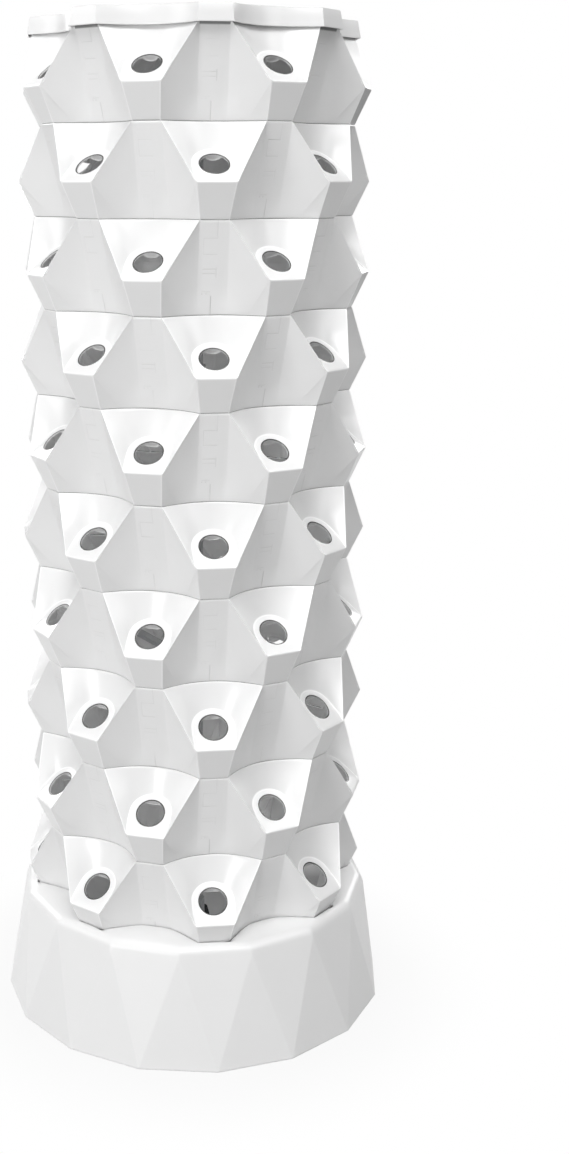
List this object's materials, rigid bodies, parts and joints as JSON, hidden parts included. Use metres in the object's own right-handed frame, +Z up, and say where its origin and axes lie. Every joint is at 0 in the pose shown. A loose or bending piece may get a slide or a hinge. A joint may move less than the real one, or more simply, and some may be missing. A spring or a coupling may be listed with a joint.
{
  "type": "vertical planter tower",
  "caption": "White stacked planter tower with round planting holes in leaning pockets, on a faceted water tank with an inner riser pipe and pump, under a lift-off cover.",
  "frame": {"origin": "on the floor at the tower's vertical axis, at the middle of the tank's underside", "axes": "+Z up along the tower's axis; -Y faces the pocket at the front of the lowest layer; +X to the right seen from the front"},
  "size_m": [0.67, 0.67, 1.7],
  "materials": {
    "white_plastic": "satin to glossy moulded white",
    "tank_plastic": "satin moulded white",
    "pipe_plastic": "plain light grey",
    "pump_plastic": "black, lightly textured",
    "impeller_plastic": "plain blue",
    "pin_steel": "ground smooth",
    "grey_rubber": "matte"
  },
  "bodies": {
    "tower": {"layer_01_panel_1": "white_plastic", "layer_01_panel_2": "white_plastic", "layer_01_panel_3": "white_plastic", "layer_01_panel_4": "white_plastic", "layer_02_panel_1": "white_plastic", "layer_02_panel_2": "white_plastic", "layer_02_panel_3": "white_plastic", "layer_02_panel_4": "white_plastic", "layer_03_panel_1": "white_plastic", "layer_03_panel_2": "white_plastic", "layer_03_panel_3": "white_plastic", "layer_03_panel_4": "white_plastic", "layer_04_panel_1": "white_plastic", "layer_04_panel_2": "white_plastic", "layer_04_panel_3": "white_plastic", "layer_04_panel_4": "white_plastic", "layer_05_panel_1": "white_plastic", "layer_05_panel_2": "white_plastic", "layer_05_panel_3": "white_plastic", "layer_05_panel_4": "white_plastic", "layer_06_panel_1": "white_plastic", "layer_06_panel_2": "white_plastic", "layer_06_panel_3": "white_plastic", "layer_06_panel_4": "white_plastic", "layer_07_panel_1": "white_plastic", "layer_07_panel_2": "white_plastic", "layer_07_panel_3": "white_plastic", "layer_07_panel_4": "white_plastic", "layer_08_panel_1": "white_plastic", "layer_08_panel_2": "white_plastic", "layer_08_panel_3": "white_plastic", "layer_08_panel_4": "white_plastic", "layer_09_panel_1": "white_plastic", "layer_09_panel_2": "white_plastic", "layer_09_panel_3": "white_plastic", "layer_09_panel_4": "white_plastic", "layer_10_panel_1": "white_plastic", "layer_10_panel_2": "white_plastic", "layer_10_panel_3": "white_plastic", "layer_10_panel_4": "white_plastic", "water_tank": "tank_plastic", "cord_grommet": "grey_rubber", "riser_pipe_lower": "pipe_plastic", "riser_pipe_middle": "pipe_plastic", "riser_pipe_upper": "pipe_plastic", "pipe_coupling_lower": "pipe_plastic", "pipe_coupling_upper": "pipe_plastic", "pipe_guide_1": "pipe_plastic", "pipe_guide_2": "pipe_plastic", "pipe_guide_3": "pipe_plastic", "spray_head": "pipe_plastic", "spreader_dish": "pipe_plastic", "pump_body": "pump_plastic", "pump_cover": "pump_plastic", "pump_pin": "pin_steel", "outlet_socket": "pipe_plastic"},
    "cover": {"top_cover": "white_plastic"},
    "impeller": {"pump_impeller": "impeller_plastic"},
    "plug": {"drain_plug": "grey_rubber"}
  },
  "joints": [
    {"name": "cover_lift", "type": "slide", "parent": "tower", "child": "cover", "axis": [0, 0, 1], "range_m": [0, 0.15]},
    {"name": "impeller_spin", "type": "hinge", "parent": "tower", "child": "impeller", "pos_m": [0, -0.003, 0.0483], "axis": [0, 1, 0], "continuous": true},
    {"name": "plug_draw", "type": "slide", "parent": "tower", "child": "plug", "axis": [-0.1936, 0.9735, 0.1217], "range_m": [0, 0.04]}
  ]
}
